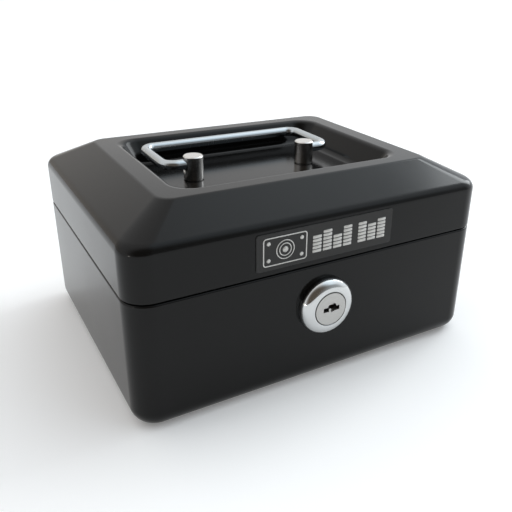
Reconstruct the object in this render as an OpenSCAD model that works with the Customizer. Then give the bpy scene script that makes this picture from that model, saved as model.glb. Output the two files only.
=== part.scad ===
// Small steel cash box: a drawn base pan, a hipped lid with a sunk top, a folding wire handle,
// a cam lock in the front and two riveted hinges at the back. A coin tray drops into the base.
// Units are millimetres. X runs along the front, Y to the back, Z up.
// The origin is the centre of the underside, so the box stands on Z = 0.

/* [Box] */
// Width of the box along the front
box_w = 152; // [144:1:170]
// Depth of the box without lock and hinges
box_d = 120; // [116:1:134]
// Height of the base up to its shoulder
base_h = 50.2; // [49:0.1:56]
// Thickness of the sheet steel
sheet = 0.8; // [0.7:0.1:1]
// Corner radius of the box in plan
corner_r = 9.5; // [8.5:0.1:14]
// Radius of the edge round the underside
bottom_r = 7; // [4:0.5:8]
// Height of the rim that stands inside the lid
rim_h = 4.8; // [3:0.1:6]
// Gap between the rim and the lid all round
rim_gap = 0.35; // [0.3:0.05:0.5]
// Gap in the seam between base and lid
seam_gap = 0.5; // [0.3:0.1:0.8]

/* [Lid] */
// Height of the bend between the upright skirt and the slope
knee_z = 69.6; // [69:0.1:70]
// Height of the flat rim on top
top_z = 78.8; // [78:0.1:80]
// How far the slope leans in at the left and right
slope_x = 18.3; // [16:0.1:20]
// How far the slope leans in at the front and back
slope_y = 16.4; // [15:0.1:18]
// Width of the flat rim at the left and right
rim_flat_x = 8.6; // [6:0.1:9]
// Width of the flat rim at the front and back
rim_flat_y = 7.4; // [6:0.1:8]
// Height of the sunk floor
floor_z = 69.2; // [69:0.1:70.5]

/* [Handle, lock and label] */
// Middle of the handle, lock and label, left or right of the middle of the box
centre_x = -1.5; // [-2:0.1:2]

/* [Handle] */
// Distance of each post from the middle of the handle
post_x = 26.5; // [24:0.5:30]
// Diameter of a post
post_d = 8.2; // [7.6:0.1:9]
// Height of a post above the sunk floor
post_h = 10; // [9:0.1:10]
// Diameter of the handle wire
wire_d = 4.3; // [3.6:0.1:4.4]
// Half the width of the handle, to the middle of the wire
bail_x = 38.2; // [37:0.1:41]
// Reach of the handle from its pivot to the middle of the bar
bail_reach = 29.5; // [26:0.1:30]
// Bend radius of the handle wire at its middle
bail_bend = 5; // [4:0.5:6]

/* [Lock] */
// Height of the lock above the underside
lock_z = 33; // [31:0.5:33]
// How far the lock head stands out of the front
head_out = 4.6; // [4:0.1:5]
// Radius of the lock head
head_r = 11.5; // [10.5:0.1:12]
// Radius of the plug face
plug_face_r = 6.6; // [6:0.05:6.7]

/* [Label] */
// Width of the label plate
label_w = 58.8; // [50:0.2:60]
// Height of the label plate
label_h = 14; // [12:0.5:14]

/* [Tray] */
// Depth of the coin tray from its top to its underside
tray_deep = 26; // [22:1:28]
// Number of coin cups in the front row
cups = 4; // [3:1:5]

/* [Hidden] */

paint = "#1d1e20";
plated = "#b9bcc0";
bright = "#d8dade";
dark_nickel = "#77757a";
brass = "#b79a55";
label_grey = "#2f3234";
tray_grey = "#2a2c2f";

$fn = 64;
cut = 0.5; // how far a cutting shape passes a surface

// Box
front_y = -box_d / 2;
back_y = box_d / 2;
inner_back_y = back_y - sheet;
rim_out = sheet + rim_gap;
rim_in = rim_out + sheet;
rim_top = base_h + rim_h;
lid_z = base_h + seam_gap;

// Lid section
ring_steps = 8;
bend_steps = 4;
knee_r = 4.5;
top_r = 2.9;
lip_r = 3;
tub_r = 4;
wall_draft = 6.5;
top_corner_r = 5.6;
tub_corner_r = 9.5;
floor_in = 2.4;

// Hinges
hinge_x = 42;
knuckle_r = 1.8;
hinge_y = back_y + 2.2;
hinge_z = base_h + seam_gap / 2;
pin_r = 1;
pin_clear = 0.05;
leaf = 0.9;
leaf_w = 29;
lid_knuckle_w = 13.2;
knuckle_gap = 0.3;
leaf_tall = 13;
leaf_inner_y = inner_back_y - leaf;
tail_r = 2.6;
tail_angle = 126;
hinge_rivet_x = 9.5;
hinge_rivet_r = 1.2;
rivet_head_r = 2.1;
rivet_head_h = 0.8;
rivet_crown_r = 1.3;
rivet_tail_r = 1.8;
rivet_tail_h = 0.7;
base_rivet_z = 42;
lid_rivet_z = 59;
peen_r = 1.4;
peen_h = 0.4;

// Handle
pivot_z = 75.8;
wire_r = wire_d / 2;
wire_clear = 0.05;
bail_end_deep = 2.4; // how far the wire's end passes a post's axis
bail_end_x = post_x - bail_end_deep;
bore_tip_gap = 0.3;
post_chamfer = 0.4;
post_foot_h = 0.4;
post_foot_step = 0.35;
post_foot_r = post_d / 2 - post_foot_step;
post_screw_r = 1.5;
post_screw_deep = 3.4;
lid_hole_clear = 0.2;
washer_clear = 0.1;
handle_screw_long = 3;
handle_washer_r = 4.5;
handle_washer_h = 0.8;
handle_head_r = 2.8;
handle_head_low_r = 2.3;
handle_head_h = 2;
handle_cross = [2.8, 0.6, 1.2];

// Lock
head_side = 1.2;
head_lip_r = 7;
counterbore_deep = 2;
barrel_r = 9;
barrel_flat = 7.8;
barrel_clear = 0.1;
barrel_end_y = front_y + 10;
plug_r = 5.5;
plug_clear = 0.05;
face_gap = 0.3; // ring between the plug's face and the lip
plug_head_h = 1.7;
plug_end_y = barrel_end_y + 0.3;
keyway_deep = 12;
keyway_left = 3.25;
keyway_right = 3.8;
keyway_half = 0.9;
arch_r = 1.9;
arch_x = 0.5;
arch_z = 0.6;
arch_deep = 1.5;
ward_w = 0.9;
ward_h = 1.2;
tail_half = 3;
tail_long = 1.4;
nut_flats = 21;
nut_h = 3;
wafer_count = 5;
wafer_first_y = front_y - head_out + 4;
wafer_pitch = 1.8;
wafer_h = 1;
wafer_half_x = 4.6;
wafer_half_z = 2.7;
wafer_slack = 0.05;
wafer_hole_past = 0.3;
wafer_hole_half_z = 1.3;
tab_half = 0.6;
tab_z = 3.9;
spring_end = 3.4;
spring_r = 0.36;
spring_gap = 0.02;
spring_wire_r = 0.1;
spring_turns = 4;
spring_steps = 8;
spring_sides = 4;
cam_h = 1.5;
cam_hub_r = 6;
cam_arm_w = 6;
hook_in_r = 15.5;
hook_out_r = 19;
hook_start = -50;
hook_span = 60;
cam_washer_r = 4.2;
cam_washer_h = 0.8;
cam_screw_r = 1.6;
cam_screw_long = 3.8;
cam_screw_tip_gap = 0.5;
cam_head_r = 3.2;
cam_head_top_r = 2.4;
cam_head_h = 2.2;
cam_cross = [3.4, 0.7, 1.2];

// Striker
striker_t = 1.2;
striker_w = 16;
striker_top = 65;
striker_step_z = 56;
striker_hang_y = front_y + 3.1;
lip_z = lock_z + 13;
lip_end_y = front_y + 13;
lip_half = 5;

// Label
label_t = 0.4;
label_z = 52.9;
label_corner = 1;

// Tray
tray_half_x = 73.4;
tray_front_y = -41;
tray_back_y = 56.7;
tray_wall = 1.4;
tray_top = rim_top + 1.2;
flange_half_x = 74.6;
flange_back_y = 45;
tray_back_r = 10;
tray_front_r = 4;
cup_back_y = 5;
cup_round = 11;
notes_round = 5;
cup_corner = 3;

// ---- helpers ----

// The same shape at both posts
module at_posts() {
    for (side = [-1, 1]) translate([centre_x + side * post_x, 0, 0]) children();
}

// A solid made along +Z, turned to run from y0 towards the back on the lock's axis
module behind_lock(y0) {
    translate([centre_x, y0, lock_z]) rotate([-90, 0, 0]) children();
}

module rounded_rect(x0, y0, x1, y1, r) {
    translate([x0 + r, y0]) square([x1 - x0 - 2 * r, y1 - y0]);
    translate([x0, y0 + r]) square([x1 - x0, y1 - y0 - 2 * r]);
    for (x = [x0 + r, x1 - r]) {
        for (y = [y0 + r, y1 - r]) translate([x, y]) circle(r);
    }
}

// Cross for a screwdriver, cut upwards from z = 0 into a head above it
module cross_recess(size) {
    for (turn = [0, 90])
        rotate([0, 0, turn]) translate([-size[0] / 2, -size[1] / 2, -cut])
            cube([size[0], size[1], size[2] + cut]);
}

// ---- base ----

// Section of the wall, measured outwards from the centre of a plan corner
module wall_section() {
    intersection() {
        translate([corner_r - bottom_r, bottom_r]) difference() {
            circle(bottom_r);
            circle(bottom_r - sheet);
        }
        translate([corner_r - bottom_r, 0]) square(bottom_r);
    }
    translate([corner_r - sheet, bottom_r]) square([sheet, base_h - bottom_r]);
    translate([corner_r - rim_in, base_h - sheet]) square([rim_in, sheet]);
    translate([corner_r - rim_in, base_h]) square([sheet, rim_h]);
}

module wall_corner(x, y, turn) {
    translate([x, y, 0]) rotate([0, 0, turn]) rotate_extrude(angle = 90) wall_section();
}

module wall_side(half, length, turn) {
    rotate([0, 0, turn]) translate([half - corner_r, length / 2, 0])
        rotate([90, 0, 0]) linear_extrude(length) wall_section();
}

module pan() {
    x = box_w / 2 - corner_r;
    y = box_d / 2 - corner_r;
    wall_corner(x, y, 0);
    wall_corner(-x, y, 90);
    wall_corner(-x, -y, 180);
    wall_corner(x, -y, 270);
    for (turn = [0, 180]) wall_side(box_w / 2, 2 * y, turn);
    for (turn = [90, 270]) wall_side(box_d / 2, 2 * x, turn);
    in = bottom_r;
    linear_extrude(sheet) rounded_rect(-box_w / 2 + in, -box_d / 2 + in,
                                       box_w / 2 - in, box_d / 2 - in, corner_r - in);
}

// Round hole with two flats, for the lock barrel
module barrel_outline(extra) {
    intersection() {
        circle(barrel_r + extra);
        square([2 * (barrel_flat + extra), 4 * barrel_r], center = true);
    }
}

// Room for one hinge in the rim, and slots for the base leaf's two arms
module hinge_room(x) {
    half = leaf_w / 2 + knuckle_gap;
    slot = half - lid_knuckle_w / 2 - knuckle_gap / 2;
    deep = rim_in + 2 * cut;
    translate([x - half, back_y - rim_in - cut, base_h]) cube([2 * half, deep, rim_h + cut]);
    for (x0 = [x - half, x + half - slot])
        translate([x0, back_y - rim_in - cut, hinge_z - knuckle_r]) cube([slot, deep, knuckle_r]);
}

module rivet_holes(z) {
    for (side = [-1, 1]) {
        for (step = [-1, 1])
            translate([side * hinge_x + step * hinge_rivet_x, inner_back_y - cut, z])
                rotate([-90, 0, 0]) cylinder(h = sheet + 2 * cut, r = hinge_rivet_r);
    }
}

module base_pan() {
    color(paint) difference() {
        pan();
        translate([centre_x, front_y + sheet + cut, lock_z]) rotate([90, 0, 0])
            linear_extrude(sheet + 2 * cut) barrel_outline(barrel_clear);
        hinge_room(-hinge_x);
        hinge_room(hinge_x);
        rivet_holes(base_rivet_z);
    }
}

// ---- hinges ----

module knuckle(x0, x1, bore_r) {
    translate([x0, hinge_y, hinge_z]) rotate([0, 90, 0]) difference() {
        cylinder(h = x1 - x0, r = knuckle_r);
        translate([0, 0, -cut]) cylinder(h = x1 - x0 + 2 * cut, r = bore_r);
    }
}

// Flat arm from a knuckle to the inside of the wall, on one side of the pin
module leaf_arm(x0, x1, z) {
    difference() {
        translate([x0, leaf_inner_y, z]) cube([x1 - x0, hinge_y - leaf_inner_y, leaf]);
        translate([x0 - cut, hinge_y, hinge_z]) rotate([0, 90, 0])
            cylinder(h = x1 - x0 + 2 * cut, r = (pin_r + knuckle_r) / 2);
    }
}

// Upright plate riveted to the inside of the back wall
module leaf_plate(x, z0, z1, rivet_z) {
    difference() {
        translate([x - leaf_w / 2, leaf_inner_y, z0]) cube([leaf_w, leaf, z1 - z0]);
        for (step = [-1, 1])
            translate([x + step * hinge_rivet_x, leaf_inner_y - cut, rivet_z])
                rotate([-90, 0, 0]) cylinder(h = leaf + 2 * cut, r = hinge_rivet_r);
    }
}

module hinge_base_leaf(x) {
    top = base_h - sheet;
    inner = lid_knuckle_w / 2 + knuckle_gap;
    color(plated) union() {
        leaf_plate(x, top - leaf_tall, top, base_rivet_z);
        for (span = [[-leaf_w / 2, -inner], [inner, leaf_w / 2]]) {
            knuckle(x + span[0], x + span[1], pin_r);
            leaf_arm(x + span[0], x + span[1], hinge_z - knuckle_r);
        }
    }
}

module hinge_lid_leaf(x) {
    half = lid_knuckle_w / 2;
    arm_z = hinge_z + knuckle_r - leaf;
    color(plated) union() {
        leaf_plate(x, arm_z, arm_z + leaf_tall, lid_rivet_z);
        knuckle(x - half, x + half, pin_r + pin_clear);
        leaf_arm(x - half, x + half, arm_z);
        // end of the curl, which meets the back wall when the lid is fully open
        translate([x - half, hinge_y, hinge_z]) rotate([-tail_angle, 0, 0])
            translate([0, -leaf / 2, (pin_r + knuckle_r) / 2])
                cube([2 * half, leaf, tail_r - (pin_r + knuckle_r) / 2]);
    }
}

module hinge_pin(x) {
    color(bright) translate([x - leaf_w / 2 - peen_h, hinge_y, hinge_z]) rotate([0, 90, 0]) union() {
        cylinder(h = peen_h, r = peen_r);
        cylinder(h = leaf_w + 2 * peen_h, r = pin_r);
        translate([0, 0, leaf_w + peen_h]) cylinder(h = peen_h, r = peen_r);
    }
}

module hinge_rivets(z) {
    grip = sheet + leaf;
    color(paint) for (side = [-1, 1]) {
        for (step = [-1, 1])
            translate([side * hinge_x + step * hinge_rivet_x, back_y, z]) rotate([90, 0, 0]) union() {
                translate([0, 0, -rivet_head_h])
                    cylinder(h = rivet_head_h, r1 = rivet_crown_r, r2 = rivet_head_r);
                cylinder(h = grip, r = hinge_rivet_r);
                translate([0, 0, grip]) cylinder(h = rivet_tail_h, r = rivet_tail_r);
            }
    }
}

// ---- lid ----

function unit(v) = v / norm(v);

// Point b of the path a, b, c moved to the inner side of the sheet
function inner_point(a, b, c, t) =
    let (u = unit(b - a), v = unit(c - b), n = [u[1], -u[0]], m = [v[1], -v[0]])
    b + t * (n + m) / (1 + n * m);

// Round corner b of the path a, b, c: an arc of radius r in bend_steps steps
function bend(a, b, c, r) =
    let (u = unit(a - b), v = unit(c - b), half = acos(u * v) / 2,
         start = b + u * r / tan(half), end = b + v * r / tan(half),
         mid = b + unit(u + v) * r / sin(half),
         a0 = atan2(start[1] - mid[1], start[0] - mid[0]),
         a1 = atan2(end[1] - mid[1], end[0] - mid[0]),
         turn = (a1 - a0 + 540) % 360 - 180)
    [for (k = [0:bend_steps]) mid + r * [cos(a0 + turn * k / bend_steps), sin(a0 + turn * k / bend_steps)]];

// Corners of the lid's section as [inset, height], from the skirt's edge to the sunk floor
function lid_corners(slope, flat) = [
    [0, lid_z], [0, knee_z], [slope, top_z], [slope + flat, top_z],
    [slope + flat + wall_draft, floor_z], [slope + flat + wall_draft + floor_in, floor_z]
];

function inner_corners(p, t) = [
    p[0] + [t, 0],
    for (k = [1:4]) inner_point(p[k - 1], p[k], p[k + 1], t),
    p[5] - [0, t]
];

function rounded_path(p, r) = [
    p[0],
    for (k = [1:4]) each bend(p[k - 1], p[k], p[k + 1], r[k - 1]),
    p[5]
];

// Plan corner radius at each of the section's corners; q is p or its inner side
plan_r = [corner_r, corner_r, top_corner_r, tub_corner_r, tub_corner_r - wall_draft,
          tub_corner_r - wall_draft - floor_in];
function radius_table(p, q) = [for (k = [0:5]) [q[k][0], plan_r[k] - (q[k][0] - p[k][0])]];

// One closed ring: straight sides joined by round corners; px and py are the section's points
// at the sides and at the front and back
function ring(px, py, r) = [
    for (q = [0:3]) for (k = [0:ring_steps])
        let (a = 90 * (q + k / ring_steps), sx = q == 0 || q == 3 ? 1 : -1, sy = q < 2 ? 1 : -1)
        [sx * (box_w / 2 - px[0] - r) + r * cos(a),
         sy * (box_d / 2 - py[0] - r) + r * sin(a),
         px[1] * pow(cos(a), 2) + py[1] * pow(sin(a), 2)]
];

function rings_of(px, py, radii) = [for (k = [0:len(px) - 1]) ring(px[k], py[k], lookup(px[k][0], radii))];
function reversed(v) = [for (k = [len(v) - 1:-1:0]) v[k]];

// Closed skin over a stack of rings
module loft(rings) {
    n = len(rings[0]);
    last = len(rings) - 1;
    points = [for (one = rings) each one];
    sides = [for (k = [0:last - 1]) for (j = [0:n - 1])
        let (a = k * n + j, b = k * n + (j + 1) % n)
        each [[a, a + n, b + n], [a, b + n, b]]];
    floor_face = [for (j = [0:n - 1]) j];
    top_face = [for (j = [n - 1:-1:0]) last * n + j];
    polyhedron(points, concat([floor_face], sides, [top_face]), convexity = 8);
}

module lid_sheet() {
    px = lid_corners(slope_x, rim_flat_x);
    py = lid_corners(slope_y, rim_flat_y);
    qx = inner_corners(px, sheet);
    qy = inner_corners(py, sheet);
    bends = [knee_r, top_r, lip_r, tub_r];
    inner_bends = bends + sheet * [-1, -1, -1, 1];
    outer = rings_of(rounded_path(px, bends), rounded_path(py, bends), radius_table(px, px));
    inner = rings_of(rounded_path(qx, inner_bends), rounded_path(qy, inner_bends), radius_table(px, qx));
    loft(concat(reversed(inner), outer));
}

module lid_shell() {
    half = lid_knuckle_w / 2 + knuckle_gap / 2;
    color(paint) difference() {
        lid_sheet();
        for (side = [-1, 1])
            translate([centre_x + side * post_x, 0, floor_z - sheet - cut])
                cylinder(h = sheet + 2 * cut, r = post_screw_r + lid_hole_clear);
        for (x = [-hinge_x, hinge_x])
            translate([x - half, inner_back_y - cut, lid_z - cut])
                cube([2 * half, sheet + 2 * cut, hinge_z + knuckle_r - lid_z + cut]);
        rivet_holes(lid_rivet_z);
    }
}

// Hook plate welded inside the lid's front: it hangs behind the base's rim and ends in a lip
module striker_bracket() {
    skirt_y = front_y + sheet;
    hang_end = striker_hang_y + striker_t;
    color(plated) translate([centre_x, 0, 0]) union() {
        translate([-striker_w / 2, skirt_y, striker_step_z])
            cube([striker_w, striker_t, striker_top - striker_step_z]);
        translate([-striker_w / 2, skirt_y, striker_step_z])
            cube([striker_w, hang_end - skirt_y, striker_t]);
        translate([-striker_w / 2, striker_hang_y, lip_z])
            cube([striker_w, striker_t, striker_step_z - lip_z]);
        translate([-lip_half, striker_hang_y, lip_z])
            cube([2 * lip_half, lip_end_y - striker_hang_y, striker_t]);
    }
}

module label_plate() {
    color(label_grey) translate([centre_x, front_y, label_z]) rotate([90, 0, 0])
        linear_extrude(label_t) rounded_rect(-label_w / 2, 0, label_w / 2, label_h, label_corner);
}

// ---- handle ----

module handle_post(side) {
    r = post_d / 2;
    bore_end = bail_end_deep + bore_tip_gap;
    color(dark_nickel) translate([centre_x + side * post_x, 0, floor_z]) difference() {
        union() {
            cylinder(h = post_foot_h, r = post_foot_r);
            translate([0, 0, post_foot_h]) cylinder(h = post_h - post_foot_h - post_chamfer, r = r);
            translate([0, 0, post_h - post_chamfer])
                cylinder(h = post_chamfer, r1 = r, r2 = r - post_chamfer);
        }
        // blind hole for the end of the wire, open to the outer side
        translate([0, 0, pivot_z - floor_z]) rotate([0, side * 90, 0])
            translate([0, 0, -bore_end]) cylinder(h = bore_end + r + cut, r = wire_r + wire_clear);
        translate([0, 0, -cut]) cylinder(h = post_screw_deep + cut, r = post_screw_r);
    }
}

module handle_washers() {
    color(plated) at_posts() translate([0, 0, floor_z - sheet - handle_washer_h]) difference() {
        cylinder(h = handle_washer_h, r = handle_washer_r);
        translate([0, 0, -cut]) cylinder(h = handle_washer_h + 2 * cut, r = post_screw_r + washer_clear);
    }
}

module handle_screws() {
    under = floor_z - sheet - handle_washer_h;
    color(plated) at_posts() difference() {
        union() {
            translate([0, 0, under - handle_head_h])
                cylinder(h = handle_head_h, r1 = handle_head_low_r, r2 = handle_head_r);
            translate([0, 0, under]) cylinder(h = floor_z + handle_screw_long - under, r = post_screw_r);
        }
        translate([0, 0, under - handle_head_h]) cross_recess(handle_cross);
    }
}

module wire_bend(x, y, turn) {
    translate([x, y, pivot_z]) rotate([0, 0, turn]) rotate_extrude(angle = 90)
        translate([bail_bend, 0]) circle(wire_r);
}

module bail_handle() {
    inner_x = bail_x - bail_bend;
    inner_y = bail_reach - bail_bend;
    color(bright) translate([centre_x, 0, 0]) union() {
        for (side = [-1, 1]) {
            translate([side * bail_end_x, 0, pivot_z]) rotate([0, side * 90, 0])
                cylinder(h = inner_x - bail_end_x, r = wire_r);
            translate([side * bail_x, bail_bend, pivot_z]) rotate([-90, 0, 0])
                cylinder(h = inner_y - bail_bend, r = wire_r);
        }
        translate([-inner_x, bail_reach, pivot_z]) rotate([0, 90, 0]) cylinder(h = 2 * inner_x, r = wire_r);
        wire_bend(inner_x, bail_bend, 270);
        wire_bend(-inner_x, bail_bend, 180);
        wire_bend(inner_x, inner_y, 0);
        wire_bend(-inner_x, inner_y, 90);
    }
}

// ---- lock ----

// The lock's own shapes are drawn along +Z from the front face of the head, then laid along Y
module in_lock() {
    behind_lock(front_y - head_out) children();
}

// Half section of the head: a short upright side, then a dome up to the lip round the plug
module head_section() {
    intersection() {
        square([head_r, head_out]);
        union() {
            square([head_lip_r, head_out]);
            translate([0, head_out - head_side]) square([head_r, head_side]);
            translate([head_lip_r, head_out - head_side])
                scale([1, (head_out - head_side) / (head_r - head_lip_r)])
                    circle(head_r - head_lip_r);
        }
    }
}

module lock_housing() {
    face_r = plug_face_r + face_gap;
    color(bright) in_lock() difference() {
        union() {
            rotate_extrude() head_section();
            translate([0, 0, head_out]) linear_extrude(barrel_end_y - front_y) barrel_outline(0);
        }
        translate([0, 0, -cut]) cylinder(h = counterbore_deep + cut, r = face_r);
        translate([0, 0, -cut])
            cylinder(h = barrel_end_y - front_y + head_out + 2 * cut, r = plug_r + plug_clear);
    }
}

module lock_nut() {
    color(plated) behind_lock(front_y + sheet) difference() {
        rotate([0, 0, 30]) cylinder(h = nut_h, r = nut_flats / sqrt(3), $fn = 6);
        translate([0, 0, -cut]) cylinder(h = nut_h + 2 * cut, r = barrel_r);
    }
}

// Keyhole in the plug's face: a flat slot with an arch over it and a ward standing up in it
module keyhole(arch) {
    difference() {
        union() {
            translate([-keyway_left, -keyway_half]) square([keyway_left + keyway_right, 2 * keyway_half]);
            if (arch) translate([arch_x, -arch_z]) circle(arch_r);
        }
        translate([-ward_w, keyway_half - ward_h]) square([ward_w, ward_h + cut]);
    }
}

function wafer_place(k) = wafer_first_y - front_y + head_out + k * wafer_pitch;

module wafer_slots() {
    for (k = [0:wafer_count - 1]) translate([0, 0, wafer_place(k) - wafer_slack]) {
        deep = wafer_h + 2 * wafer_slack;
        half_z = wafer_half_z + wafer_slack;
        translate([-plug_r - cut, -half_z, 0]) cube([2 * (plug_r + cut), 2 * half_z, deep]);
        translate([-tab_half - wafer_slack, -tab_z - wafer_slack, 0])
            cube([spring_end + tab_half + 2 * wafer_slack, tab_z, deep]);
    }
}

module lock_plug() {
    long = plug_end_y - front_y + head_out;
    color(plated) in_lock() difference() {
        union() {
            cylinder(h = plug_head_h, r = plug_face_r);
            cylinder(h = long, r = plug_r);
            translate([-tail_half, -tail_half, long]) cube([2 * tail_half, 2 * tail_half, tail_long]);
        }
        translate([0, 0, -cut]) linear_extrude(keyway_deep + cut) keyhole(false);
        translate([0, 0, -cut]) linear_extrude(arch_deep + cut) keyhole(true);
        wafer_slots();
        translate([0, 0, long + tail_long - cam_screw_long])
            cylinder(h = cam_screw_long + cut, r = cam_screw_r);
    }
}

module lock_wafers() {
    color(brass) in_lock() for (k = [0:wafer_count - 1]) translate([0, 0, wafer_place(k)]) difference() {
        union() {
            translate([-wafer_half_x, -wafer_half_z, 0])
                cube([2 * wafer_half_x, 2 * wafer_half_z, wafer_h]);
            translate([-tab_half, -tab_z, 0]) cube([2 * tab_half, tab_z, wafer_h]);
        }
        translate([-keyway_left - wafer_hole_past, -wafer_hole_half_z, -cut])
            cube([keyway_left + keyway_right + 2 * wafer_hole_past, 2 * wafer_hole_half_z, wafer_h + 2 * cut]);
    }
}

// Coil spring along +X from x0 to x1
module coil(x0, x1) {
    steps = spring_turns * spring_steps;
    rings = [for (k = [0:steps]) let (a = 360 * k / spring_steps)
        [for (j = [0:spring_sides - 1]) let (b = 360 * j / spring_sides, r = spring_r + spring_wire_r * cos(b))
            [x0 + (x1 - x0) * k / steps + spring_wire_r * sin(b), r * cos(a), r * sin(a)]]];
    loft(reversed(rings));
}

module wafer_springs() {
    middle = -(wafer_half_z + tab_z) / 2;
    color(bright) in_lock() for (k = [0:wafer_count - 1])
        translate([0, middle, wafer_place(k) + wafer_h / 2])
            coil(tab_half + spring_wire_r + spring_gap, spring_end - spring_wire_r);
}

module hook_outline() {
    intersection() {
        difference() {
            circle(hook_out_r);
            circle(hook_in_r);
        }
        polygon([[0, 0], for (a = [hook_start:15:hook_start + hook_span]) 2 * hook_out_r * [cos(a), sin(a)]]);
    }
}

module lock_cam() {
    color(plated) translate([centre_x, plug_end_y + cam_h, lock_z]) rotate([90, 0, 0]) difference() {
        linear_extrude(cam_h) union() {
            circle(cam_hub_r);
            hook_outline();
            rotate(hook_start) square([(hook_in_r + hook_out_r) / 2, cam_arm_w]);
        }
        translate([-tail_half, -tail_half, -cut]) cube([2 * tail_half, 2 * tail_half, cam_h + 2 * cut]);
    }
}

module cam_washer() {
    color(plated) behind_lock(plug_end_y + cam_h) difference() {
        cylinder(h = cam_washer_h, r = cam_washer_r);
        translate([0, 0, -cut]) cylinder(h = cam_washer_h + 2 * cut, r = cam_screw_r + washer_clear);
    }
}

module cam_screw() {
    seat = plug_end_y + cam_h + cam_washer_h;
    tip = plug_end_y + tail_long - cam_screw_long + cam_screw_tip_gap;
    color(bright) behind_lock(tip) difference() {
        union() {
            cylinder(h = seat - tip, r = cam_screw_r);
            translate([0, 0, seat - tip]) cylinder(h = cam_head_h, r1 = cam_head_r, r2 = cam_head_top_r);
        }
        translate([0, 0, seat - tip + cam_head_h]) mirror([0, 0, 1]) cross_recess(cam_cross);
    }
}

// ---- tray ----

// Tray outline in plan, with large corners at the back to follow the pan
module tray_outline() {
    rounded_rect(-tray_half_x, tray_front_y, tray_half_x, tray_back_y - tray_back_r, tray_front_r);
    rounded_rect(-tray_half_x, tray_front_y + 2 * tray_front_r, tray_half_x, tray_back_y, tray_back_r);
}

// Open pocket with a rounded trough for a bottom
module pocket(x0, x1, y0, y1, bottom, r, corner) {
    intersection() {
        translate([x0, 0, 0]) rotate([90, 0, 90]) linear_extrude(x1 - x0)
            rounded_rect(y0, bottom, y1, tray_top + 2 * r, r);
        linear_extrude(2 * tray_top) rounded_rect(x0, y0, x1, y1, corner);
    }
}

module coin_tray() {
    bottom = tray_top - tray_deep + tray_wall;
    inner = tray_half_x - tray_wall;
    pitch = (2 * inner + tray_wall) / cups;
    color(tray_grey) difference() {
        union() {
            translate([0, 0, tray_top - tray_deep]) linear_extrude(tray_deep) tray_outline();
            translate([-flange_half_x, tray_front_y + tray_front_r, rim_top])
                cube([2 * flange_half_x, flange_back_y - tray_front_y - tray_front_r, tray_top - rim_top]);
        }
        for (k = [0:cups - 1])
            pocket(-inner + k * pitch, -inner + (k + 1) * pitch - tray_wall,
                   tray_front_y + tray_wall, cup_back_y, bottom, cup_round, cup_corner);
        pocket(-inner, inner, cup_back_y + tray_wall, tray_back_y - tray_wall,
               bottom, notes_round, tray_back_r - tray_wall);
    }
}

base_pan();
hinge_base_leaf(-hinge_x);  // hinge_base_leaf_left
hinge_base_leaf(hinge_x);  // hinge_base_leaf_right
hinge_rivets(base_rivet_z);  // hinge_rivets_base
hinge_pin(-hinge_x);  // hinge_pin_left
hinge_pin(hinge_x);  // hinge_pin_right
lock_housing();
lock_nut();
lid_shell();
hinge_lid_leaf(-hinge_x);  // hinge_lid_leaf_left
hinge_lid_leaf(hinge_x);  // hinge_lid_leaf_right
hinge_rivets(lid_rivet_z);  // hinge_rivets_lid
striker_bracket();
label_plate();
handle_post(-1);  // handle_post_left
handle_post(1);  // handle_post_right
handle_washers();
handle_screws();
bail_handle();
lock_plug();
lock_wafers();
wafer_springs();
lock_cam();
cam_washer();
cam_screw();
coin_tray();
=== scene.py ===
"""Looks of the small steel cash box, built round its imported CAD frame.

Sizes are written in millimetres and turned into metres where a mesh is made.
+X runs right along the front, +Y to the hinges at the back, +Z up; the box stands on Z = 0.
"""

import math

import bmesh
import bpy
import numpy as np
from mathutils import Matrix, Vector


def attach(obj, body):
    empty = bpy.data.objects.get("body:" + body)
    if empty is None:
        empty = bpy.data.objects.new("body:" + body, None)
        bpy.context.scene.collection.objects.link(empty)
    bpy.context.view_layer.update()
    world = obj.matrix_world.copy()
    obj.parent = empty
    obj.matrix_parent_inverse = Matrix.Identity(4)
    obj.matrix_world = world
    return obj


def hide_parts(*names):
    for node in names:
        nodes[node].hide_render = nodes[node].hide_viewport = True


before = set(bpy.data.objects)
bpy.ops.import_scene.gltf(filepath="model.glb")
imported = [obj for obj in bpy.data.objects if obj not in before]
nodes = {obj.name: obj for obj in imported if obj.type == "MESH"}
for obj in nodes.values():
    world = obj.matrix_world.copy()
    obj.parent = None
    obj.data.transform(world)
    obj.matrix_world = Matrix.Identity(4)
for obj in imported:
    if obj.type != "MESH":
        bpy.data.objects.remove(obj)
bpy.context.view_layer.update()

MM = 0.001
TURN = 2 * math.pi

# ---- driving sizes, the same as the CAD part's ----

# Pan and its stepped-in rim, whose faces are RIM_OUT and RIM_IN in from the box's side
BOX_W = 152
BOX_D = 120
SHEET = 0.8
CORNER_R = 9.5
BOTTOM_R = 7
SHOULDER_Z = 50.2
SHOULDER_R = 0.85
RIM_OUT = 1.15
RIM_IN = 1.95
RIM_TOP = 55

# Lid: heights of its hem, knee, flat rim and sunk floor, then the widths of its slopes, rim and sunk walls
LID_Z = 50.7
KNEE_Z = 69.6
TOP_Z = 78.8
FLOOR_Z = 69.2
SLOPE_X = 18.3
SLOPE_Y = 16.4
FLAT_X = 8.6
FLAT_Y = 7.4
WALL_DRAFT = 6.5
FLOOR_IN = 2.4
# Radii of the bends at the knee, the rim's outer and inner edges and the foot of the sunk walls
LID_BENDS = [4.5, 2.9, 3, 4]
# Radii in plan at the hem, the knee, the rim's outer and inner edges, the foot of the walls and the floor
LID_PLAN_R = [9.5, 9.5, 5.6, 9.5, 3, 0.6]

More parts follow.
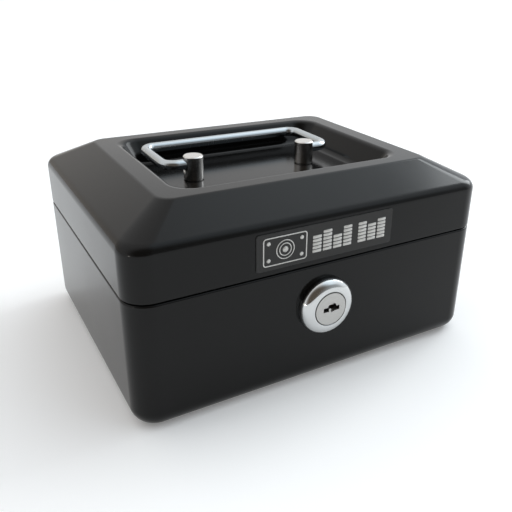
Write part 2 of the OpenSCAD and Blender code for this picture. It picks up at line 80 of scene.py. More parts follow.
# Hinges: room in the rim for each, slots for its leaf and a notch in the lid for its knuckle
HINGE_X = 42
HINGE_ROOM = 14.8
HINGE_SLOT = 7.9
HINGE_SLOT_Z = 48.65
NOTCH_HALF = 6.75
NOTCH_TOP = 52.25
RIVET_X = 9.5
RIVET_BASE_Z = 42
RIVET_LID_Z = 59
LEAF = 0.9

# Handle
CENTRE_X = -1.5
POST_X = 26.5
POST_R = 4.1
POST_FOOT_R = 3.75
POST_H = 10
PIVOT_Z = 75.8
WIRE_R = 2.15
BAIL_X = 38.2
BAIL_REACH = 29.5
BAIL_BEND = 5
BAIL_END_X = 24.1

# Lock
LOCK_Z = 33
LOCK_FACE_Y = -64.6
HEAD_OUT = 4.6
HEAD_SIDE = 1.2
HEAD_R = 11.5
HEAD_LIP_R = 7
COUNTERBORE_R = 6.9
COUNTERBORE_DEEP = 2
PLUG_BORE_R = 5.55
BARREL_R = 9
BARREL_FLAT = 7.8
BARREL_LONG = 14.6
THREAD_PITCH = 1.0
THREAD_DEEP = 0.5

# Label
LABEL_W = 58.8
LABEL_H = 14
LABEL_LEFT = CENTRE_X - LABEL_W / 2
LABEL_Z = 52.9
LABEL_T = 0.4
PRINT_T = 0.03

# Steps of the skins round each corner and bend
CORNER_STEPS = 20
BEND_STEPS = 10

# Edges sharper than this, in degrees, get rounded
SHARP_ANGLE = 35


# ---- shapes ----


def unit(v):
    return v / np.hypot(*v)


def bend(a, b, c, radius, steps):
    """Arc that rounds corner b of the path a, b, c."""
    u, v = unit(a - b), unit(c - b)
    half = math.acos(np.dot(u, v)) / 2
    start, end = b + u * radius / math.tan(half), b + v * radius / math.tan(half)
    middle = b + unit(u + v) * radius / math.sin(half)
    first = math.atan2(*(start - middle)[::-1])
    last = math.atan2(*(end - middle)[::-1])
    turn = (last - first + math.pi) % TURN - math.pi
    angles = [first + turn * k / steps for k in range(steps + 1)]
    return [middle + radius * np.array([math.cos(a), math.sin(a)]) for a in angles]


def rounded_path(points, radii, steps=BEND_STEPS):
    """The path with each inner corner rounded to its radius."""
    points = [np.array(p, float) for p in points]
    path = [points[0]]
    for k, radius in enumerate(radii, 1):
        path += bend(points[k - 1], points[k], points[k + 1], radius, steps)
    return path + [points[-1]]


def box_ring(px, py, radius):
    """Closed ring round the box. px and py are (inset, height) at the sides and at the front and back."""
    ring = []
    for quarter in range(4):
        sx = 1 if quarter in (0, 3) else -1
        sy = 1 if quarter < 2 else -1
        for k in range(CORNER_STEPS + 1):
            a = math.pi / 2 * (quarter + k / CORNER_STEPS)
            c, s = math.cos(a), math.sin(a)
            x = sx * (BOX_W / 2 - px[0] - radius) + radius * c
            y = sy * (BOX_D / 2 - py[0] - radius) + radius * s
            ring.append((x, y, px[1] * c * c + py[1] * s * s))
    return ring


def loft(rings, closed=False):
    """Vertices and faces of a skin over rings of one length, with flat ends unless it closes on itself."""
    n, count = len(rings[0]), len(rings)
    verts = [p for ring in rings for p in ring]
    faces = []
    for k in range(count if closed else count - 1):
        low, high = k * n, (k + 1) % count * n
        faces += [(low + j, low + (j + 1) % n, high + (j + 1) % n, high + j) for j in range(n)]
    if not closed:
        faces += [tuple(range(n))[::-1], tuple((count - 1) * n + j for j in range(n))]
    return verts, faces


def lathe(profile, sides, shift):
    """Skin of a closed profile of (radius, height) turned about Z. shift moves each point (x, y, z)."""
    rings = []
    for k in range(sides):
        c, s = math.cos(TURN * k / sides), math.sin(TURN * k / sides)
        rings.append([shift(r * c, r * s, z) for r, z in profile])
    return loft(rings, closed=True)


def solid_lathe(profile, sides):
    """Solid of revolution about Z whose open profile starts and ends on the axis."""
    rings = [
        [(r * math.cos(TURN * k / sides), r * math.sin(TURN * k / sides), z) for k in range(sides)]
        for r, z in profile[1:-1]
    ]
    return loft(rings)


def block(low, high):
    """Box between two corners."""
    (x0, y0, z0), (x1, y1, z1) = low, high
    rings = [[(x0, y0, z), (x1, y0, z), (x1, y1, z), (x0, y1, z)] for z in (z0, z1)]
    return loft(rings)


def merged(*parts):
    """Several (vertices, faces) as one."""
    verts, faces = [], []
    for v, f in parts:
        faces += [tuple(i + len(verts) for i in face) for face in f]
        verts += v
    return verts, faces


def moved(part, matrix):
    """(vertices, faces) with the vertices turned and moved."""
    verts, faces = part
    return [tuple(matrix @ Vector(v)) for v in verts], faces


def piece(name, part, material, body, replaces=()):
    """Object of (vertices, faces) that rides on a CAD body and takes the given material."""
    obj = make_object(name, part)
    obj.data.materials.append(material)
    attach(obj, body)
    if replaces:
        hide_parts(*replaces)
    return obj


def make_object(name, part):
    """Smooth-shaded object of (vertices, faces) in millimetres, with doubled points merged."""
    verts, faces = part
    mesh = bpy.data.meshes.new(name)
    mesh.from_pydata([tuple(c * MM for c in v) for v in verts], [], faces)
    bm = bmesh.new()
    bm.from_mesh(mesh)
    bmesh.ops.remove_doubles(bm, verts=bm.verts, dist=1e-7)
    bmesh.ops.recalc_face_normals(bm, faces=bm.faces)
    bm.to_mesh(mesh)
    bm.free()
    mesh.shade_smooth()
    obj = bpy.data.objects.new(name, mesh)
    bpy.context.scene.collection.objects.link(obj)
    return obj


def cut_away(obj, part):
    """Takes a closed (vertices, faces) out of obj for good."""
    cutter = make_object("cutter", part)
    modifier = obj.modifiers.new("cut", "BOOLEAN")
    modifier.object = cutter
    modifier.operation = "DIFFERENCE"
    modifier.solver = "EXACT"
    graph = bpy.context.evaluated_depsgraph_get()
    cut_mesh = bpy.data.meshes.new_from_object(obj.evaluated_get(graph))
    obj.modifiers.clear()
    obj.data = cut_mesh
    bpy.data.objects.remove(cutter)


def soften(obj, width=0.0):
    """Small rounded edges, width in millimetres, and shading that keeps flat faces flat."""
    if width:
        bevel = obj.modifiers.new("edges", "BEVEL")
        bevel.width = width * MM
        bevel.segments = 3
        bevel.limit_method = "ANGLE"
        bevel.angle_limit = math.radians(SHARP_ANGLE)
    normals = obj.modifiers.new("normals", "WEIGHTED_NORMAL")
    normals.weight = 100
    normals.keep_sharp = False


# ---- materials ----


class Finish:
    """A procedural material: one Principled shader with its patterns in the piece's own coordinates."""

    def __init__(self, name, colour, roughness, metallic=0.0, specular=0.5):
        self.material = bpy.data.materials.new(name)
        self.material.use_nodes = True
        self.tree = self.material.node_tree
        self.shader = self.tree.nodes["Principled BSDF"]
        self.shader.inputs["Base Color"].default_value = (*colour, 1)
        self.shader.inputs["Roughness"].default_value = roughness
        self.shader.inputs["Metallic"].default_value = metallic
        self.shader.inputs["Specular IOR Level"].default_value = specular
        self.place = self.node("ShaderNodeTexCoord").outputs["Object"]
        self.last_normal = None

    def node(self, kind, inputs=None, **settings):
        made = self.tree.nodes.new(kind)
        for key, value in settings.items():
            setattr(made, key, value)
        for key, value in (inputs or {}).items():
            if isinstance(value, bpy.types.NodeSocket):
                self.tree.links.new(value, made.inputs[key])
            else:
                made.inputs[key].default_value = value
        return made

    def noise(self, size_mm, detail=3, stretch=(1, 1, 1)):
        """Noise from 0 to 1 with spots of about that size."""
        scaled = self.node("ShaderNodeVectorMath", {0: self.place, 1: stretch}, operation="MULTIPLY")
        pattern = self.node(
            "ShaderNodeTexNoise",
            {"Vector": scaled.outputs[0], "Scale": 1 / (size_mm * MM), "Detail": detail, "Roughness": 0.6},
        )
        return pattern.outputs["Fac"]

    def specks(self, spacing_mm, radius_mm):
        """1 inside small round spots and 0 elsewhere."""
        cells = self.node("ShaderNodeTexVoronoi", {"Vector": self.place, "Scale": 1 / (spacing_mm * MM)})
        edge = radius_mm / spacing_mm
        return self.between(cells.outputs["Distance"], edge * 0.6, edge, 1, 0)

    def rings(self, pitch_mm):
        """Turning marks round the piece's own Z axis."""
        wave = self.node(
            "ShaderNodeTexWave",
            {"Vector": self.place, "Scale": 1 / (pitch_mm * MM * TURN), "Distortion": 1.5,
             "Detail": 2, "Detail Scale": 2.0},
            wave_type="RINGS",
            rings_direction="Z",
        )
        return wave.outputs["Fac"]

    def between(self, value, from_low, from_high, low, high):
        """value from one range mapped smoothly to another."""
        scaled = self.node(
            "ShaderNodeMapRange",
            {"Value": value, "From Min": from_low, "From Max": from_high, "To Min": low, "To Max": high},
            interpolation_type="SMOOTHSTEP",
        )
        return scaled.outputs["Result"]

    def times(self, a, b):
        return self.node("ShaderNodeMath", {0: a, 1: b}, operation="MULTIPLY").outputs[0]

    def colours(self, value, low, high):
        """Colour that runs from low to high with value."""
        mix = self.node("ShaderNodeMix", {"Factor": value}, data_type="RGBA")
        sockets = [s for s in mix.inputs if s.type == "RGBA"]
        for socket, colour in zip(sockets, (low, high)):
            if isinstance(colour, bpy.types.NodeSocket):
                self.tree.links.new(colour, socket)
            else:
                socket.default_value = (*colour, 1)
        return next(s for s in mix.outputs if s.type == "RGBA")

    def set(self, **links):
        """Links a pattern to Base_Color, Roughness or another of the shader's sockets."""
        for key, socket in links.items():
            self.tree.links.new(socket, self.shader.inputs[key.replace("_", " ")])

    def bump(self, height, depth_mm):
        """Adds relief of that depth to the surface."""
        inputs = {"Height": height, "Strength": 1.0, "Distance": depth_mm * MM}
        if self.last_normal:
            inputs["Normal"] = self.last_normal
        self.last_normal = self.node("ShaderNodeBump", inputs).outputs["Normal"]
        self.set(Normal=self.last_normal)


def black_paint():
    """Satin powder coat: faint orange peel, soft smudges and a little dust."""
    f = Finish("black_powder_coat", (0.004, 0.004, 0.004), 0.16, specular=0.2)
    smudge = f.noise(38, detail=4)
    fine = f.noise(0.5, detail=2)
    peel = f.noise(1.7, detail=2)
    dust = f.times(f.specks(7, 0.11), f.between(f.noise(24), 0.5, 0.75, 0, 0.6))
    tone = f.colours(smudge, (0.003, 0.003, 0.003), (0.0047, 0.0045, 0.0043))
    f.set(Base_Color=f.colours(dust, tone, (0.22, 0.21, 0.2)))
    f.set(Roughness=f.between(smudge, 0.3, 0.75, 0.14, 0.18))
    f.bump(peel, 0.004)
    f.bump(fine, 0.0008)
    return f.material


def zinc():
    """Zinc-plated steel with fine rolling lines and cloudy patches."""
    f = Finish("zinc_plate", (0.6, 0.61, 0.63), 0.34, metallic=1)
    cloud = f.noise(5, detail=5)
    f.set(Base_Color=f.colours(cloud, (0.5, 0.52, 0.55), (0.72, 0.72, 0.7)))
    f.set(Roughness=f.between(cloud, 0.2, 0.8, 0.26, 0.46))
    f.bump(f.noise(0.6, detail=2, stretch=(0.08, 1, 1)), 0.004)
    return f.material


def chrome(name, roughness, tone):
    """Polished plating with faint hairline scratches and tiny pits."""
    f = Finish(name, tone, roughness, metallic=1)
    haze = f.noise(3.5, detail=4)
    hair = f.noise(0.35, detail=2, stretch=(1, 0.1, 0.1))
    f.set(Roughness=f.between(f.times(haze, hair), 0.15, 0.5, roughness * 0.8, roughness * 1.9))
    f.set(Base_Color=f.colours(haze, tuple(0.94 * c for c in tone), tone))
    f.bump(f.specks(2.6, 0.08), -0.003)
    return f.material


def turned_nickel():
    """Polished nickel with turning marks round the post."""
    f = Finish("dark_nickel", (0.62, 0.6, 0.58), 0.2, metallic=1)
    marks = f.rings(0.16)
    f.set(Roughness=f.between(f.noise(2, detail=4), 0.2, 0.8, 0.16, 0.26))
    f.set(Base_Color=f.colours(marks, (0.57, 0.55, 0.53), (0.66, 0.64, 0.62)))
    f.bump(marks, 0.0012)
    return f.material


def satin_nickel():
    """Satin plug face with fine brushing."""
    f = Finish("satin_nickel", (0.46, 0.455, 0.44), 0.36, metallic=1)
    brush = f.noise(0.3, detail=3, stretch=(0.12, 1, 1))
    f.set(Base_Color=f.colours(brush, (0.4, 0.395, 0.38), (0.52, 0.515, 0.5)))
    f.set(Roughness=f.between(brush, 0.2, 0.8, 0.3, 0.44))
    f.bump(brush, 0.002)
    return f.material


def stamped_brass():
    """Brass sheet, stamped and a little tarnished."""
    f = Finish("stamped_brass", (0.7, 0.53, 0.25), 0.3, metallic=1)
    tarnish = f.noise(2, detail=4)
    f.set(Base_Color=f.colours(tarnish, (0.5, 0.36, 0.16), (0.78, 0.6, 0.3)))
    f.set(Roughness=f.between(tarnish, 0.2, 0.8, 0.22, 0.42))
    f.bump(f.noise(0.4, detail=2, stretch=(1, 1, 0.1)), 0.003)
    return f.material


def label_foil():
    """Charcoal foil with fine lengthwise brushing."""
    f = Finish("charcoal_foil", (0.02, 0.02, 0.019), 0.34, metallic=0.1, specular=0.3)
    brush = f.noise(0.35, detail=3, stretch=(0.05, 1, 1))
    f.set(Base_Color=f.colours(brush, (0.015, 0.0145, 0.014), (0.026, 0.0255, 0.0245)))
    f.set(Roughness=f.between(brush, 0.2, 0.8, 0.32, 0.46))
    f.bump(brush, 0.0015)
    return f.material


def silver_print():
    """Silver print of the label."""
    f = Finish("silver_print", (0.62, 0.61, 0.58), 0.4, metallic=0.4)
    wear = f.noise(0.7, detail=4)
    f.set(Base_Color=f.colours(wear, (0.5, 0.49, 0.47), (0.68, 0.67, 0.64)))
    f.set(Roughness=f.between(wear, 0.2, 0.8, 0.34, 0.5))
    return f.material


def moulded_plastic():
    """Charcoal plastic with a fine spark-eroded grain."""
    f = Finish("moulded_plastic", (0.03, 0.03, 0.032), 0.5, specular=0.4)
    patch = f.noise(20, detail=3)
    f.set(Base_Color=f.colours(patch, (0.024, 0.024, 0.026), (0.036, 0.036, 0.039)))
    f.set(Roughness=f.between(patch, 0.2, 0.8, 0.44, 0.58))
    f.bump(f.noise(0.4, detail=3), 0.02)
    return f.material


# ---- box ----


def base_shell(paint):
    """Drawn pan: flat bottom, rounded edge, wall, rounded shoulder and the stepped-in rim."""
    inner_floor_in = 8
    section = rounded_path(
        [
            (inner_floor_in, 0), (0, 0), (0, SHOULDER_Z), (RIM_OUT, SHOULDER_Z), (RIM_OUT, RIM_TOP),
            (RIM_IN, RIM_TOP), (RIM_IN, SHOULDER_Z - SHEET), (SHEET, SHOULDER_Z - SHEET),
            (SHEET, SHEET), (inner_floor_in, SHEET),
        ],
        [BOTTOM_R, SHOULDER_R, 0.2, 0.35, 0.35, 0.2, 0.1, BOTTOM_R - SHEET],
    )
    shell = make_object("base_shell", loft([box_ring(p, p, CORNER_R - p[0]) for p in section]))
    past = 1
    near, far = BOX_D / 2 - 3, BOX_D / 2 + past
    for x in (-HINGE_X, HINGE_X):
        left, right = x - HINGE_ROOM, x + HINGE_ROOM
        cut_away(shell, block((left, near, SHOULDER_Z), (right, far, RIM_TOP + past)))
        for x0, x1 in ((left, left + HINGE_SLOT), (right - HINGE_SLOT, right)):
            cut_away(shell, block((x0, near, HINGE_SLOT_Z), (x1, far, SHOULDER_Z + past)))
    hole_r, inside, outside = BARREL_R + 0.1, 55, 65
    hole = solid_lathe([(0, inside), (hole_r, inside), (hole_r, outside), (0, outside)], 64)
    turn = Matrix.Translation((CENTRE_X, 0, LOCK_Z)) @ Matrix.Rotation(math.pi / 2, 4, "X")
    cut_away(shell, moved(hole, turn))
    dress(shell, paint, "base", ["base_pan"])


def dress(obj, material, body, replaces):
    """Material, body and shading of a finished shell."""
    obj.data.materials.clear()
    obj.data.materials.append(material)
    obj.data.shade_smooth()
    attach(obj, body)
    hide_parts(*replaces)
    soften(obj)


def lid_corners(slope, flat):
    """Corners of the lid's section as (inset, height), from above the hem to the sunk floor."""
    wall = slope + flat + WALL_DRAFT
    hem_z = LID_Z + SHEET / 2
    corners = [(0, hem_z), (0, KNEE_Z), (slope, TOP_Z), (slope + flat, TOP_Z), (wall, FLOOR_Z)]
    return np.array(corners + [(wall + FLOOR_IN, FLOOR_Z)], float)


def inner_corners(p):
    """The same corners on the inner side of the sheet."""
    inside = [p[0] + (SHEET, 0)]
    for a, b, c in zip(p, p[1:], p[2:]):
        u, v = unit(b - a), unit(c - b)
        n, m = np.array([u[1], -u[0]]), np.array([v[1], -v[0]])
        inside.append(b + SHEET * (n + m) / (1 + n @ m))
    inside.append(p[5] - (0, SHEET))
    return np.array(inside)


def lid_skin(paint):
    """Lid: skirt with a round edge, hipped slopes, flat rim and sunk floor, in sheet of full thickness."""
    px = lid_corners(SLOPE_X, FLAT_X)
    py = lid_corners(SLOPE_Y, FLAT_Y)
    qx = inner_corners(px)
    qy = inner_corners(py)
    inner_bends = [r - SHEET for r in LID_BENDS[:3]] + [LID_BENDS[3] + SHEET]

    def rings(ax, ay, bends, radii):
        sides = zip(rounded_path(ax, bends), rounded_path(ay, bends))
        return [box_ring(a, b, np.interp(a[0], ax[:, 0], radii)) for a, b in sides]

    inner_radii = np.array(LID_PLAN_R) - (qx[:, 0] - px[:, 0])
    outer = rings(px, py, LID_BENDS, LID_PLAN_R)
    inner = rings(qx, qy, inner_bends, inner_radii)
    half = SHEET / 2
    hem = []
    for k in range(1, 6):
        a = math.pi * k / 6
        point = (half + half * math.cos(a), LID_Z + half - half * math.sin(a))
        hem.append(box_ring(point, point, CORNER_R - point[0]))
    skin = make_object("lid_skin", loft(inner[::-1] + hem + outer))
    for x in (-HINGE_X, HINGE_X):
        low = (x - NOTCH_HALF, BOX_D / 2 - 2, LID_Z - 1)
        high = (x + NOTCH_HALF, BOX_D / 2 + 1, NOTCH_TOP)
        cut_away(skin, block(low, high))
    dress(skin, paint, "lid", ["lid_shell"])


# ---- hinges ----


def rivets(name, body, z, paint):
    """Domed rivets that hold the hinge leaves to the back wall, with flatter heads inside."""
    head_r, head_h, shank_r, tail_r, tail_h = 2.1, 0.8, 1.2, 1.8, 0.7
    grip = SHEET + LEAF
    head = [(head_r * math.sin(a), head_h * math.cos(a)) for a in np.linspace(0, math.pi / 2, 9)]
    tail = [(tail_r * math.sin(a), -grip - tail_h * math.cos(a)) for a in np.linspace(math.pi / 2, 0, 7)]
    profile = head + [(shank_r, 0), (shank_r, -grip)] + tail
    one = solid_lathe(profile, 32)
    lying = Matrix.Rotation(-math.pi / 2, 4, "X")
    spots = [side * HINGE_X + step * RIVET_X for side in (-1, 1) for step in (-1, 1)]
    parts = [moved(one, Matrix.Translation((x, BOX_D / 2, z)) @ lying) for x in spots]
    obj = piece(name, merged(*parts), paint, body, [f"hinge_rivets_{body}"])
    soften(obj)


# ---- handle ----


def bail_path():
    """Middle line of the wire handle, from the right post round to the left one."""
    inner_x, inner_y = BAIL_X - BAIL_BEND, BAIL_REACH - BAIL_BEND
    right = [(BAIL_END_X, 0)]
    for cx, cy, start in ((inner_x, BAIL_BEND, -90), (inner_x, inner_y, 0)):
        for k in range(BEND_STEPS + 1):
            a = math.radians(start + 90 * k / BEND_STEPS)
            right.append((cx + BAIL_BEND * math.cos(a), cy + BAIL_BEND * math.sin(a)))
    half = right + [(-x, y) for x, y in right[::-1]]
    return [(CENTRE_X + x, y) for x, y in half]


def bail_wire(metal):
    """Bent wire with slightly rounded ends."""
    line = [np.array(p) for p in bail_path()]
    sides = 36
    end_round = 0.4
    rings = []

    def ring(point, along, radius):
        across = np.array([along[1], -along[0]])
        made = []
        for k in range(sides):
            a = TURN * k / sides
            x, y = point + across * radius * math.cos(a)
            made.append((x, y, PIVOT_Z + radius * math.sin(a)))
        return made

    last = len(line) - 1
    for k, point in enumerate(line):
        along = unit(line[min(k + 1, last)] - line[max(k - 1, 0)])
        if k == 0:
            rings.append(ring(point, along, WIRE_R - end_round))
            rings.append(ring(point + 0.15 * along, along, WIRE_R - 0.1))
            point = point + end_round * along
        if k == last:
            point = point - end_round * along
        rings.append(ring(point, along, WIRE_R))
        if k == last:
            rings.append(ring(point + 0.25 * along, along, WIRE_R - 0.1))
            rings.append(ring(point + end_round * along, along, WIRE_R - end_round))
    soften(piece("bail_wire", loft(rings), metal, "bail", ["bail_handle"]))


def handle_post(name, side, metal):
    """Turned post with a narrower foot, a broken top edge and the bore for the wire."""
    foot, edge = 0.4, 0.4
    profile = rounded_path(
        [
            (0, 0), (POST_FOOT_R, 0), (POST_FOOT_R, foot), (POST_R, foot),
            (POST_R, POST_H - edge), (POST_R - edge, POST_H), (0, POST_H),
        ],
        [0.08, 0.08, 0.12, 0.15, 0.15],
        steps=5,
    )
    post = make_object(name, solid_lathe(profile, 96))
    bore_r, bore_long, bore_start = WIRE_R + 0.05, 9, -2.7
    bore = solid_lathe([(0, 0), (bore_r, 0), (bore_r, bore_long), (0, bore_long)], 48)
    place = Matrix.Translation((side * bore_start, 0, PIVOT_Z - FLOOR_Z))
    cut_away(post, moved(bore, place @ Matrix.Rotation(side * math.pi / 2, 4, "Y")))
    post.location = ((CENTRE_X + side * POST_X) * MM, 0, FLOOR_Z * MM)
    dress(post, metal, "lid", [f"handle_{name}"])


# ---- lock ----


def lock_place():
    """From the lock's own axis, +Z inwards from its face, to the box."""
    return Matrix.Translation((CENTRE_X, LOCK_FACE_Y, LOCK_Z)) @ Matrix.Rotation(-math.pi / 2, 4, "X")


def lock_head(metal):
    """Domed head with a rounded lip round the plug, and the threaded barrel with two flats."""
    lip, rim, barrel_edge = 0.3, 0.25, 0.6
    dome_deep = HEAD_OUT - HEAD_SIDE
    dome_r = HEAD_R - HEAD_LIP_R - lip
    profile = [(PLUG_BORE_R, BARREL_LONG), (PLUG_BORE_R, COUNTERBORE_DEEP)]
    profile.append((COUNTERBORE_R, COUNTERBORE_DEEP))
    for a in np.linspace(math.pi, math.pi / 2, 7):
        profile.append((COUNTERBORE_R + lip + lip * math.cos(a), lip - lip * math.sin(a)))
    for a in np.linspace(0, math.pi / 2, 28)[1:]:
        profile.append((HEAD_R - dome_r + dome_r * math.sin(a), dome_deep - dome_deep * math.cos(a)))
    for a in np.linspace(0, math.pi / 2, 5):
        profile.append((HEAD_R - rim + rim * math.cos(a), HEAD_OUT - rim + rim * math.sin(a)))
    thread_start = HEAD_OUT + SHEET
    thread_end = BARREL_LONG - 0.4
    steps = 90
    for k in range(steps + 1):
        profile.append((BARREL_R, thread_start + (thread_end - thread_start) * k / steps))
    profile.append((BARREL_R - barrel_edge, BARREL_LONG))

    def thread(x, y, z):
        r = math.hypot(x, y)
        if z <= HEAD_OUT or r < BARREL_R - 0.1:
            return x, y, z
        phase = (z / THREAD_PITCH - math.atan2(y, x) / TURN) % 1
        r_new = r - THREAD_DEEP * abs(2 * phase - 1)
        x, y = x * r_new / r, y * r_new / r
        return max(-BARREL_FLAT, min(BARREL_FLAT, x)), y, z

    part = moved(lathe(profile, 128, thread), lock_place())
    soften(piece("lock_head", part, metal, "base", ["lock_housing"]))


# ---- label ----


def on_label(points, y):
    """Points (across, up) from the label's lower left corner, laid on the front at depth y."""
    return [(LABEL_LEFT + u, y, LABEL_Z + v) for u, v in points]


def rounded_box(u0, v0, u1, v1, radius, steps=6):
    """Outline of a rectangle with round corners, anticlockwise."""
    outline = []
    for cu, cv, start in ((u1 - radius, v1 - radius, 0), (u0 + radius, v1 - radius, 90),
                          (u0 + radius, v0 + radius, 180), (u1 - radius, v0 + radius, 270)):
        for k in range(steps + 1):
            a = math.radians(start + 90 * k / steps)
            outline.append((cu + radius * math.cos(a), cv + radius * math.sin(a)))
    return outline


def label(foil, silver):
    """Foil label with a banknote sign and two groups of coin stacks in silver print, and no lettering."""
    front = -BOX_D / 2
    edge = 0.12
    outer = rounded_box(0, 0, LABEL_W, LABEL_H, 1)
    inset = rounded_box(edge, edge, LABEL_W - edge, LABEL_H - edge, 1 - edge)
    depths = ((outer, front), (outer, front - LABEL_T + edge), (inset, front - LABEL_T))
    rings = [on_label(outline, y) for outline, y in depths]
    soften(piece("label_foil", loft(rings), foil, "lid", ["label_plate"]))
    marks = merged(*banknote_sign(), *coin_stacks())
    piece("label_print", marks, silver, "lid")


def printed(outline, hole=None):
    """Thin raised shape on the label, solid or as a band round a hole."""
    back = -BOX_D / 2 - LABEL_T
    face = back - PRINT_T
    if hole is None:
        return loft([on_label(outline, back), on_label(outline, face)])
    loops = [on_label(outline, back), on_label(outline, face), on_label(hole, face), on_label(hole, back)]
    return loft(loops, closed=True)


def circle(u, v, radius, sides=40):
    angles = [TURN * k / sides for k in range(sides)]
    return [(u + radius * math.cos(a), v + radius * math.sin(a)) for a in angles]


def banknote_sign():
    """Frame, coin in the middle and a small spot in each corner."""
    left, low, right, high, line = 2.6, 1.6, 20.4, 12.4, 0.42
    coin_rings, coin_dot, spot_in, spot_r = (3.7, 2.5), 1.1, 2.2, 0.75
    middle = ((left + right) / 2, (low + high) / 2)
    frame_hole = rounded_box(left + line, low + line, right - line, high - line, 0.8)
    marks = [printed(rounded_box(left, low, right, high, 1.2), frame_hole)]
    for radius in coin_rings:
        marks.append(printed(circle(*middle, radius), circle(*middle, radius - line * 0.8)))
    marks.append(printed(circle(*middle, coin_dot)))
    for u in (left + spot_in, right - spot_in):
        for v in (low + spot_in, high - spot_in):
            marks.append(printed(circle(u, v, spot_r, 20)))
    return marks


def coin_stacks():
    """Seven stacks of coins seen from the side, in groups of four and three."""
    coin_w, coin_h, gap, pitch, low = 3.75, 1.12, 0.26, 4.45, 3.0
    start, group_gap, first_group = 22.8, 2.2, 4
    heights = [5, 6, 4, 6, 6, 5, 6]
    marks = []
    for k, height in enumerate(heights):
        u = start + k * pitch + (group_gap if k >= first_group else 0)
        for level in range(height):
            v = low + level * (coin_h + gap)
            marks.append(printed(rounded_box(u, v, u + coin_w, v + coin_h, 0.3, 3)))
    return marks


# ---- parts whose CAD shape stays ----


def dress_cad(name, material, edge_mm):
    """Material and small rounded edges on a CAD node that keeps its shape."""
    obj = nodes[name]
    obj.data.materials.clear()
    obj.data.materials.append(material)
    weld = obj.modifiers.new("weld", "WELD")
    weld.merge_threshold = 2e-6
    soften(obj, edge_mm)


# ---- stage ----

# Camera, in millimetres and degrees
CAMERA_AT = (-119.35, -227.72, 149.6)
CAMERA_YAW = 31.06
CAMERA_PITCH = 24.0
CAMERA_ROLL = -1.308
LENS = 43.3
SENSOR = 36
SHIFT_X = -0.062
SHIFT_Y = -0.0283

FLOOR_HALF = 9000
FLOOR_CLOUD = 900
FLOOR_GLOW = 0.15

# Lights that face the box: name, place and size in metres, brightness, colour
LIGHTS = [
    ("window", (1.3, 0.15, 0.8), (0.6, 0.9), 5, (0.94, 0.98, 1)),
    ("lamp", (-1.25, -0.4, 0.06), (0.05, 0.05), 66, (1, 0.96, 0.86)),
]
LIGHT_AIM = (0, 0, 0.05)

# Soft patches in the plain white surroundings: direction, cosines where each begins and is full, brightness
PATCHES = [
    ((0, 0, 1), 0.2, 0.95, (1.1, 1.1, 1.1)),  # overhead
    ((0.45, -0.8, 0.35), 0.7, 0.98, (0.45, 0.48, 0.5)),  # dim, at the front right
    ((0.47, -0.35, 0.81), 0.8, 0.98, (1.25, 1.42, 1.55)),  # cool, mirrored by the front knee
    ((-0.4, -0.8, 0.4), 0.45, 0.95, (0.13, 0.11, 0.09)),  # dark and warm, at the front left
    ((-0.45, 0.8, -0.3), 0.5, 0.95, (0.75, 0.7, 0.64)),  # warm and low, at the back left
    ((0.85, 0.1, 0.5), 0.6, 0.99, (1.25, 1.33, 1.4)),  # bright, at the right
    ((0.62, 0.1, 0.78), 0.88, 0.99, (1.75, 1.9, 2.0)),  # bright and cool, mirrored by the front slope
]


def camera():
    """Camera above the front left corner, looking down on the lid."""
    yaw = math.radians(CAMERA_YAW)
    pitch = math.radians(CAMERA_PITCH)
    roll = math.radians(CAMERA_ROLL)
    forward = Vector((math.sin(yaw) * math.cos(pitch), math.cos(yaw) * math.cos(pitch), -math.sin(pitch)))
    level = Vector((math.cos(yaw), -math.sin(yaw), 0))
    down = forward.cross(level)
    right = level * math.cos(roll) + down * math.sin(roll)
    up = right.cross(forward)
    data = bpy.data.cameras.new("camera")
    data.sensor_width = SENSOR
    data.lens = LENS
    data.shift_x = SHIFT_X
    data.shift_y = SHIFT_Y
    data.clip_start = 0.01
    obj = bpy.data.objects.new("camera", data)
    turned = Matrix((right, up, -forward)).transposed().to_4x4()
    obj.matrix_world = Matrix.Translation(Vector(CAMERA_AT) * MM) @ turned
    bpy.context.scene.collection.objects.link(obj)
    bpy.context.scene.camera = obj


def area_light(name, place, size, strength, colour):
    """Soft light at place that faces the box; strength is its brightness."""
    data = bpy.data.lights.new(name, "AREA")
    data.shape = "RECTANGLE"
    data.size, data.size_y = size
    data.energy = strength * math.pi * size[0] * size[1]
    data.color = colour
    obj = bpy.data.objects.new(name, data)
    obj.location = place
    obj.rotation_mode = "QUATERNION"
    obj.rotation_quaternion = (Vector(LIGHT_AIM) - Vector(place)).to_track_quat("-Z", "Y")
    bpy.context.scene.collection.objects.link(obj)


def floor():
    """Wide, plain, near-white floor that glows a little, like a lit table."""
    corners = [(sx * FLOOR_HALF, sy * FLOOR_HALF, 0) for sx, sy in ((-1, -1), (1, -1), (1, 1), (-1, 1))]
    obj = make_object("floor", (corners, [(0, 1, 2, 3)]))
    finish = Finish("pale_floor", (0.9, 0.9, 0.9), 0.7, specular=0.2)
    cloud = finish.noise(FLOOR_CLOUD)
    finish.set(Base_Color=finish.colours(cloud, (0.89, 0.89, 0.89), (0.91, 0.91, 0.91)))
    finish.shader.inputs["Emission Color"].default_value = (1, 1, 1, 1)
    finish.shader.inputs["Emission Strength"].default_value = FLOOR_GLOW
    obj.data.materials.append(finish.material)


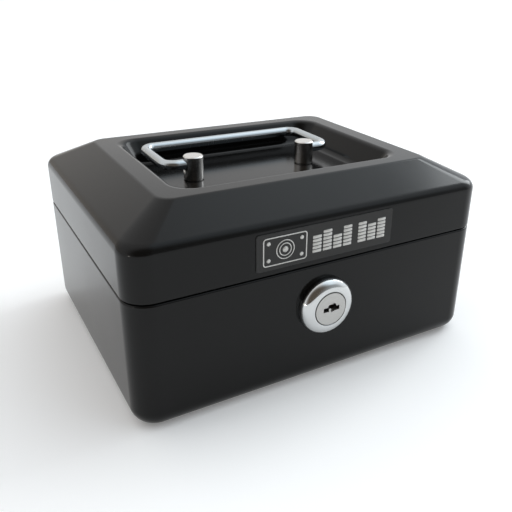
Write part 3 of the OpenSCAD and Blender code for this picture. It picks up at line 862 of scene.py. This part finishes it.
def surroundings():
    """Soft light from all round: brighter overhead and at the right, dark and warm at the front left."""
    world = bpy.data.worlds.new("studio")
    world.use_nodes = True
    tree = world.node_tree
    background = tree.nodes["Background"]
    direction = tree.nodes.new("ShaderNodeTexCoord").outputs["Generated"]
    colour = None
    for place, outer, inner, tint in PATCHES:
        towards = tree.nodes.new("ShaderNodeVectorMath")
        towards.operation = "DOT_PRODUCT"
        towards.inputs[1].default_value = Vector(place).normalized()
        tree.links.new(direction, towards.inputs[0])
        part = tree.nodes.new("ShaderNodeMapRange")
        part.interpolation_type = "SMOOTHSTEP"
        part.inputs["From Min"].default_value = outer
        part.inputs["From Max"].default_value = inner
        tree.links.new(towards.outputs["Value"], part.inputs["Value"])
        mix = tree.nodes.new("ShaderNodeMix")
        mix.data_type = "RGBA"
        tree.links.new(part.outputs["Result"], mix.inputs["Factor"])
        low, high = [socket for socket in mix.inputs if socket.type == "RGBA"]
        low.default_value = (1.0, 1.0, 1.0, 1)
        high.default_value = (*tint, 1)
        if colour:
            tree.links.new(colour, low)
        colour = next(socket for socket in mix.outputs if socket.type == "RGBA")
    tree.links.new(colour, background.inputs["Color"])
    background.inputs["Strength"].default_value = 1.0
    bpy.context.scene.world = world
    bpy.context.scene.view_settings.view_transform = "Standard"


def main():
    camera()
    surroundings()
    floor()
    for light in LIGHTS:
        area_light(*light)

    paint = black_paint()
    steel = zinc()
    polished = chrome("chrome_wire", 0.16, (0.46, 0.49, 0.51))
    bright = chrome("chrome_lock", 0.09, (0.58, 0.59, 0.59))
    nickel = turned_nickel()

    base_shell(paint)
    lid_skin(paint)
    rivets("rivets_base", "base", RIVET_BASE_Z, paint)
    rivets("rivets_lid", "lid", RIVET_LID_Z, paint)
    bail_wire(polished)
    handle_post("post_left", -1, nickel)
    handle_post("post_right", 1, nickel)
    lock_head(bright)
    label(label_foil(), silver_print())

    for part in ("hinge_base_leaf", "hinge_lid_leaf", "hinge_pin"):
        for side in ("left", "right"):
            dress_cad(f"{part}_{side}", steel, 0.12)
    for name in ("handle_washers", "handle_screws", "cam_washer", "cam_screw"):
        dress_cad(name, steel, 0.12)
    for name in ("striker_bracket", "lock_nut", "lock_cam"):
        dress_cad(name, steel, 0.2)
    dress_cad("wafer_springs", steel, 0)
    dress_cad("lock_wafers", stamped_brass(), 0.05)
    dress_cad("lock_plug", satin_nickel(), 0.12)
    dress_cad("coin_tray", moulded_plastic(), 0.4)


main()
